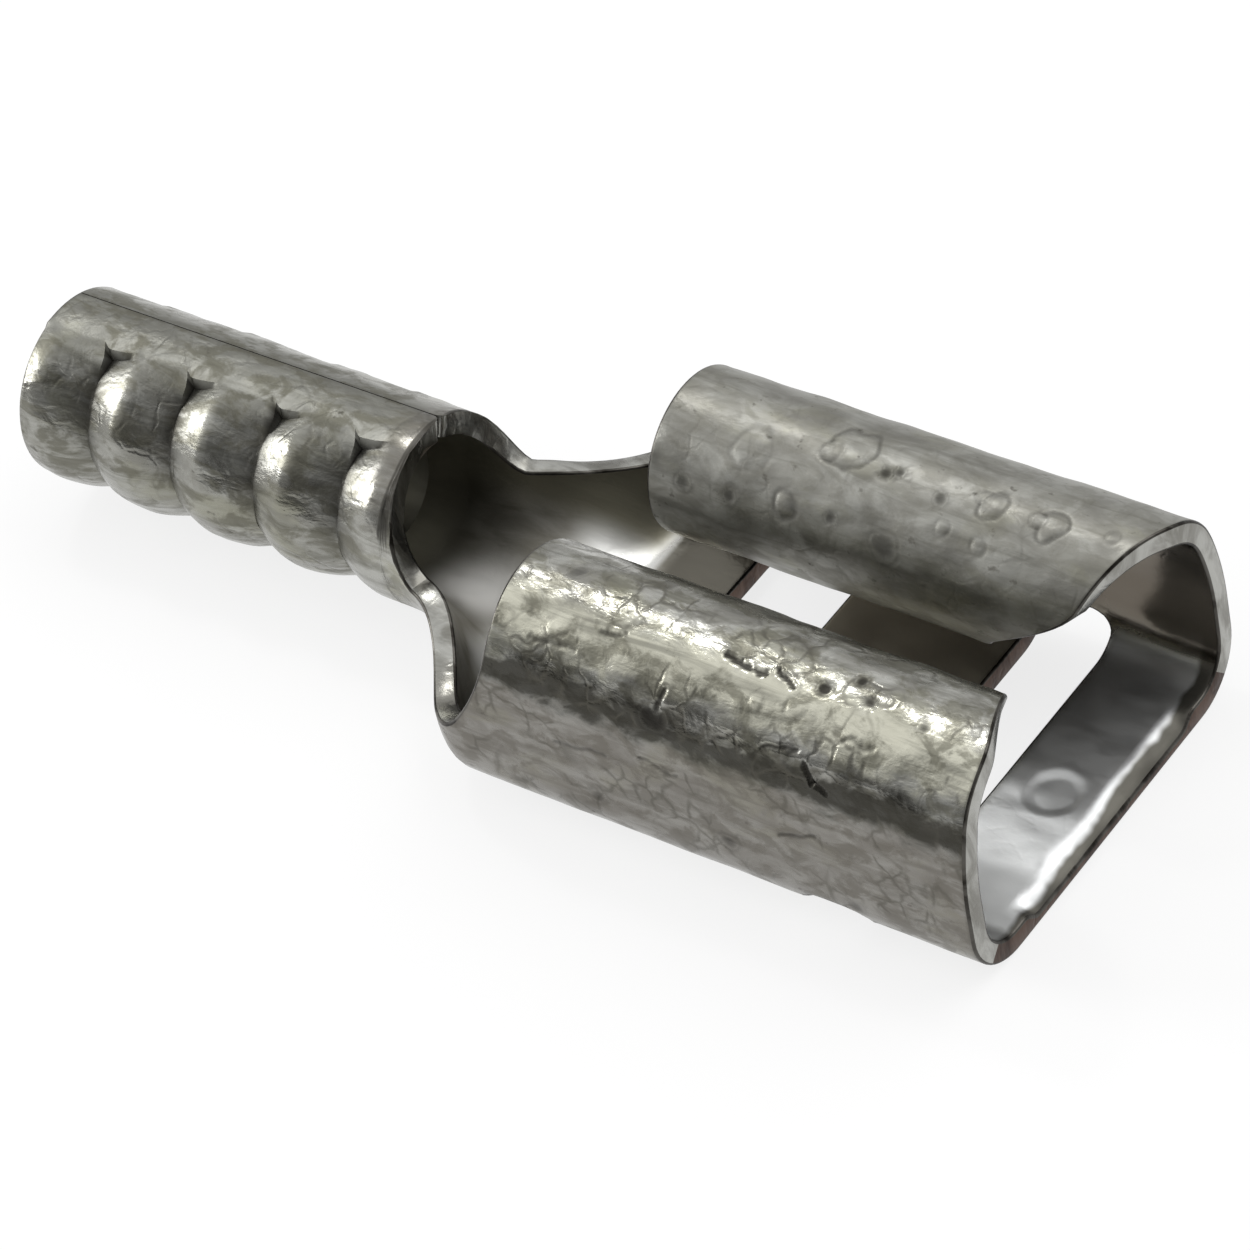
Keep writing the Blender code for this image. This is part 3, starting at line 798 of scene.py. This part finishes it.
mottled = reckoned(tree, "MULTIPLY", aged["Mottle"], mottled)
crackled = reckoned(tree, "MULTIPLY_ADD", reckoned(tree, "MAXIMUM", near, wall), 0.45, 0.15)
crackled = reckoned(tree, "MULTIPLY", aged["Crackle"], crackled)
painted_shade_mask = add_node(tree, "ShaderNodeAttribute", attribute_name="painted_shade").outputs["Fac"]
tin = blended(tree, aged["Patches"], (0.27, 0.265, 0.24, 1), (0.46, 0.46, 0.43, 1))
tin = stained(tree, tin,
              (aged["Stain"], 0.65, (0.33, 0.325, 0.245)),
              # painted light: a pale olive strip on the near roll
              (lit, 0.85, (0.66, 0.65, 0.54)),
              (barrel, 0.28, (0.17, 0.17, 0.145)),
              (ridge, 0.60, (0.17, 0.17, 0.15)),
              (streaks, 0.60, (0.14, 0.138, 0.115)),
              (mottled, 0.70, (0.13, 0.125, 0.095)),
              (far, 0.48, (0.19, 0.187, 0.165)),
              (aged["Specks"], 0.60, (0.10, 0.095, 0.08)),
              # painted shade: the side walls are darker, as if reflecting the shaded floor beside
              # them
              (wall, 0.60, (0.15, 0.135, 0.122)),
              # painted reflection: the dark band along the shoulders, weaker on the far side
              (band, 0.92, (0.036, 0.034, 0.028)),
              (crackled, 1.0, (0.09, 0.085, 0.07)),
              # painted shade in pits, laps and grooves, and a painted dark reflection along the
              # edges
              (painted_shade_mask, 0.90, (0.03, 0.028, 0.024)))
dull = dulled(tree, 0.20, (aged["Patches"], 0.08), (aged["Specks"], 0.20), (painted_shade_mask, 0.25),
              (mottled, 0.12), (ridge, 0.18), (far, 0.17))
roughest = reckoned(tree, "MULTIPLY_ADD", worn, 0.65, 0.35)
roughest = reckoned(tree, "MULTIPLY", aged["Relief"], roughest)
finish_metal(tree, shader, tin, dull, roughest, 0.018 * MM)

# The inner face of the sheet was against the forming tools: the same tin, rubbed and browner. Its
# colour carries painted light and shade. Painted shade lies in the bore, on the far wall beside the
# neck, on the floor in front of the neck, and up the inner walls. Painted light lies on the ramp to
# the floor, on the floor between the window and the slot, along the lip, and in a pale spot on the
# near side of the neck.
BORE_OUT = (-3.4, -1.7)
NECK_OUT = (-1.0, 0.2)
CHEEK_OUT, CHEEK_IN = (0.0, 0.6), (1.5, 2.3)
RAMP_IN, RAMP_OUT, RAMP_SIDE = (-1.2, -0.5), (0.35, 0.55), (2.3, 2.9)
ENTRY_IN, ENTRY_OUT = (0.45, 0.75), (3.0, 3.8)
BED_IN, BED_OUT = (3.0, 3.8), (8.0, 8.4)
LIP_IN, LIP_SIDE = (8.2, 8.6), (3.2, 4.0)
FRONT_IN = (10.28, 10.40)
FRONT_STRAY = 0.30
FRONT_LEAN = 0.03                  # how much wider the dark front of the lip is on the far side
SIDE_IN = (3.4, 4.4)
HIGHLIGHT_SPOT_AT = (-1.75, -0.50, 0.0)
HIGHLIGHT_SPOT_R = (0.10, 1.35)

tree, shader, uv, aged = start_metal("tin_inside")
along, across, off_centre = blank_axes(tree, uv)
bore = without(tree, stepped(tree, along, *BORE_OUT))
neck = without(tree, stepped(tree, along, *NECK_OUT))
cheek = without(tree, stepped(tree, along, *CHEEK_OUT))
cheek = reckoned(tree, "MULTIPLY", cheek, stepped(tree, across, *CHEEK_IN))
ramp = between(tree, along, RAMP_IN, RAMP_OUT)
ramp = reckoned(tree, "SUBTRACT", ramp, stepped(tree, off_centre, *RAMP_SIDE))
ramp = reckoned(tree, "MAXIMUM", ramp, 0.0)
# a painted highlight: a pale spot on the near side of the neck
neck_highlight_spot = add_node(tree, "ShaderNodeVectorMath", operation="DISTANCE",
                  sockets={0: uv, 1: HIGHLIGHT_SPOT_AT}).outputs["Value"]
neck_highlight_spot = without(tree, stepped(tree, neck_highlight_spot, *HIGHLIGHT_SPOT_R))
entry = between(tree, along, ENTRY_IN, ENTRY_OUT)
bed = between(tree, along, BED_IN, BED_OUT)
lip = stepped(tree, along, *LIP_IN)
lip = reckoned(tree, "SUBTRACT", lip, stepped(tree, off_centre, *LIP_SIDE))
lip = reckoned(tree, "MAXIMUM", lip, 0.0)
stray = stretched_noise(tree, uv, (1.2, 1.2), 2.0)
front = reckoned(tree, "MULTIPLY_ADD", stray, FRONT_STRAY, along)
front = stepped(tree, reckoned(tree, "MULTIPLY_ADD", across, FRONT_LEAN, front), *FRONT_IN)
tin = blended(tree, aged["Patches"], (0.20, 0.19, 0.16, 1), (0.28, 0.27, 0.24, 1))
tin = stained(tree, tin,
              # painted shade in the bore
              (bore, 1.0, (0.11, 0.105, 0.08)),
              # painted highlight on the ramp to the floor
              (ramp, 1.0, (0.62, 0.62, 0.60)),
              # painted highlight: a pale spot on the near side of the neck
              (neck_highlight_spot, 1.0, (0.90, 0.89, 0.86)),
              # painted shade on the floor in front of the neck and round the window
              (entry, 1.0, (0.115, 0.108, 0.09)),
              # painted light on the floor between the window and the slot
              (bed, 1.0, (0.58, 0.55, 0.46)),
              # painted light along the lip
              (lip, 1.0, (0.66, 0.67, 0.67)),
              (front, 1.0, (0.12, 0.115, 0.10)),
              # painted shade on the far wall beside the neck
              (cheek, 1.0, (0.20, 0.19, 0.145)),
              # painted shade up the inner walls and under the rolls
              (stepped(tree, off_centre, *SIDE_IN), 1.0, (0.15, 0.13, 0.105)))
dull = dulled(tree, 0.18, (aged["Patches"], 0.06), (neck, 0.26), (bore, 0.20), (cheek, 0.20),
              (neck_highlight_spot, 0.15), (bed, 0.20), (lip, 0.22))
finish_metal(tree, shader, tin, dull, aged["Relief"], 0.003 * MM)

# Where the die cut the plated strip the brass is bare, and has gone a dark reddish brown. The
# strip's own edges were tinned with it: an even grey. The eased corners are near black, a painted
# dark reflection.
EDGES = (    # finish, dark and pale colour, roughness, what specks add to it, depth of relief
    ("sheared_brass", (0.045, 0.028, 0.022, 1), (0.10, 0.065, 0.05, 1), 0.42, 0.20, 0.012 * MM),
    ("tin_on_rim", (0.20, 0.195, 0.175, 1), (0.40, 0.40, 0.375, 1), 0.26, 0.15, 0.008 * MM),
    # the eased corners: a painted dark reflection
    ("corner_painted_reflection", (0.020, 0.018, 0.015, 1), (0.10, 0.095, 0.085, 1), 0.38, 0.15, 0.008 * MM),
)
for name, dark, pale, smoothest, speck_dullness, depth in EDGES:
    tree, shader, where, aged = start_metal(name, on_blank=False)
    edge_colour = blended(tree, aged["Patches"], dark, pale)
    dull = dulled(tree, smoothest, (aged["Specks"], speck_dullness))
    finish_metal(tree, shader, edge_colour, dull, aged["Relief"], depth)

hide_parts("terminal")
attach(terminal, "root")

# The studio: a white paper floor, a sky that is bright overhead and away from the camera, and a
# dark card high on the near side. A small softbox stands high behind the barrel, a larger one low
# past its rear end, and the largest high on the far side, towards the mouth.
PAPER_GLOW = 0.80                  # share of plain white in what the camera and the metal see
bpy.ops.object.select_all(action="DESELECT")
bpy.ops.mesh.primitive_plane_add(size=4.0, location=(0, 0, -0.02 * MM))
floor = bpy.context.object
floor.name = "studio_floor"
paper = bpy.data.materials.new("pale_paper")
paper.use_nodes = True
tree = paper.node_tree
paper_shader = tree.nodes["Principled BSDF"]
paper_shader.inputs["Base Color"].default_value = (0.93, 0.93, 0.93, 1.0)
paper_shader.inputs["Roughness"].default_value = 1.0
paper_shader.inputs["Specular IOR Level"].default_value = 0.0
rays = tree.nodes.new("ShaderNodeLightPath")
seen = reckoned(tree, "ADD", rays.outputs["Is Camera Ray"], rays.outputs["Is Glossy Ray"])
seen = reckoned(tree, "ADD", seen, rays.outputs["Is Transmission Ray"])
seen = reckoned(tree, "MULTIPLY", reckoned(tree, "MINIMUM", seen, 1.0), PAPER_GLOW)
white = add_node(tree, "ShaderNodeEmission", sockets={"Color": (1, 1, 1, 1), "Strength": 1.0})
mixed = add_node(tree, "ShaderNodeMixShader",
                 sockets={0: seen, 1: paper_shader.outputs["BSDF"], 2: white.outputs["Emission"]})
tree.links.new(mixed.outputs["Shader"], tree.nodes["Material Output"].inputs["Surface"])
floor.data.materials.append(paper)

SKY_LEAN = (-0.25, 0.25, 1.0)      # the sky brightens this way, away from the camera
SKY_SHIFT = 0.10
SKY = ((0.0, 0.17), (0.20, 0.30), (0.50, 0.55), (0.75, 0.78), (1.0, 0.98))    # place, brightness
CARD = (0.21, -0.74, 0.64)         # direction of the dark card
CARD_EDGE = (0.78, 0.93)
CARD_SHADE = 0.60
SOFTBOX_AWAY = 0.30
world = bpy.data.worlds.new("studio")
bpy.context.scene.world = world
world.use_nodes = True
tree = world.node_tree
direction = tree.nodes.new("ShaderNodeTexCoord").outputs["Generated"]
climb = add_node(tree, "ShaderNodeVectorMath", operation="DOT_PRODUCT",
                 sockets={0: direction, 1: SKY_LEAN}).outputs["Value"]
height = reckoned(tree, "ADD", climb, SKY_SHIFT)
sky = add_node(tree, "ShaderNodeValToRGB", sockets={"Fac": height})
steps = sky.color_ramp.elements
while len(steps) < len(SKY):
    steps.new(0.5)
for step, (position, level) in zip(steps, SKY):
    step.position = position
    step.color = (level, level, level, 1)
to_card = add_node(tree, "ShaderNodeVectorMath", operation="DOT_PRODUCT",
                   sockets={0: direction, 1: CARD}).outputs["Value"]
shaded = reckoned(tree, "MULTIPLY", stepped(tree, to_card, *CARD_EDGE), CARD_SHADE)
dimmed = add_node(tree, "ShaderNodeVectorMath", operation="SCALE",
                  sockets={0: sky.outputs["Color"], "Scale": without(tree, shaded)})
tree.links.new(dimmed.outputs["Vector"], tree.nodes["Background"].inputs["Color"])


def softbox(name, azimuth, elevation, size, radiance):
    """A square lamp that faces the terminal from a direction in degrees, its size in metres."""
    a, e = math.radians(azimuth), math.radians(elevation)
    towards = Vector((math.cos(a) * math.cos(e), math.sin(a) * math.cos(e), math.sin(e)))
    lamp = bpy.data.lights.new(name, "AREA")
    lamp.shape = "SQUARE"
    lamp.size = size
    lamp.energy = radiance * math.pi * size ** 2
    made = bpy.data.objects.new(name, lamp)
    made.location = towards * SOFTBOX_AWAY
    made.rotation_euler = towards.to_track_quat("Z", "Y").to_euler()
    bpy.context.scene.collection.objects.link(made)


softbox("back_softbox", 150, 55, 0.038, 21.0)
softbox("side_softbox", -163, 18, 0.13, 10.0)
softbox("front_softbox", 60, 54, 0.24, 1.6)

# The camera looks down on the terminal from the mouth's side and is rolled a little.
CAMERA_AZIMUTH = math.radians(43.201)
CAMERA_ELEVATION = math.radians(42.606)
CAMERA_ROLL = math.radians(12.588)
CAMERA_DISTANCE = 95.897 * MM
AIM = Vector((3.141, -2.289, 3.589)) * MM
sin_a, cos_a = math.sin(CAMERA_AZIMUTH), math.cos(CAMERA_AZIMUTH)
sin_e, cos_e = math.sin(CAMERA_ELEVATION), math.cos(CAMERA_ELEVATION)
right = Vector((cos_a, sin_a, 0))
up = Vector((-sin_a * sin_e, cos_a * sin_e, cos_e))
back = Vector((sin_a * cos_e, -cos_a * cos_e, sin_e))
right, up = (right * math.cos(CAMERA_ROLL) - up * math.sin(CAMERA_ROLL),
             right * math.sin(CAMERA_ROLL) + up * math.cos(CAMERA_ROLL))
lens = bpy.data.cameras.new("camera")
lens.sensor_width = 36
lens.lens = 173.892
lens.clip_start = 0.005
lens.clip_end = 10
camera = bpy.data.objects.new("camera", lens)
turned = Matrix((right, up, back)).transposed().to_4x4()
camera.matrix_world = Matrix.Translation(AIM + back * CAMERA_DISTANCE) @ turned
bpy.context.scene.collection.objects.link(camera)
bpy.context.scene.camera = camera
bpy.context.scene.view_settings.view_transform = "Standard"
